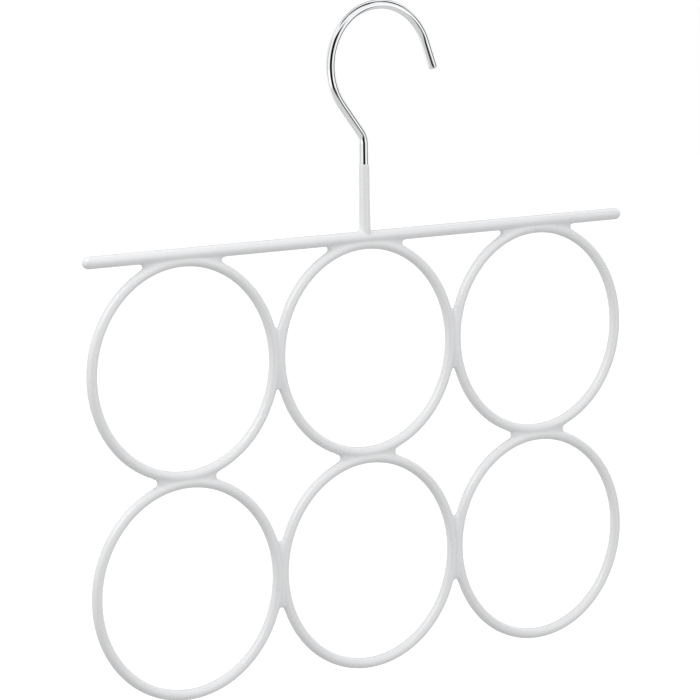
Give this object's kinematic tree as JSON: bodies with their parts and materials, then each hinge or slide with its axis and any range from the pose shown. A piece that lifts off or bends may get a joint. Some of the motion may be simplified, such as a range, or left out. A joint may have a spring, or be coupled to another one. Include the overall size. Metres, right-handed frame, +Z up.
{
  "type": "scarf hanger",
  "caption": "Flat scarf hanger: a grid of white-coated wire rings welded under a straight bar, hung from an open chromed wire hook.",
  "frame": {"origin": "the seat under the hook's crown, where the hanger rests on a wardrobe rail", "axes": "+Z up along the hook's shank, X along the straight bar with the hook's mouth open to +X, Y along the rail through the flat frame, the front facing -Y"},
  "size_m": [0.2941, 0.0054, 0.301],
  "materials": {
    "chromed_hook_wire": "bright chrome plating over a smooth drawn steel wire",
    "bare_wire": "drawn steel wire, hidden under the coating",
    "weld_steel": "fused steel inside the resistance welds, hidden under the coating",
    "white_coating": "smooth soft white dip coating with a satin gloss"
  },
  "bodies": {
    "root": {"hook": "chromed_hook_wire", "top_bar": "bare_wire", "upper_left_ring": "bare_wire", "upper_middle_ring": "bare_wire", "upper_right_ring": "bare_wire", "lower_left_ring": "bare_wire", "lower_middle_ring": "bare_wire", "lower_right_ring": "bare_wire", "hook_weld": "weld_steel", "bar_welds": "weld_steel", "side_welds": "weld_steel", "row_welds": "weld_steel", "stem_coat": "white_coating", "bar_coat": "white_coating", "upper_left_coat": "white_coating", "upper_middle_coat": "white_coating", "upper_right_coat": "white_coating", "lower_left_coat": "white_coating", "lower_middle_coat": "white_coating", "lower_right_coat": "white_coating"}
  },
  "joints": []
}
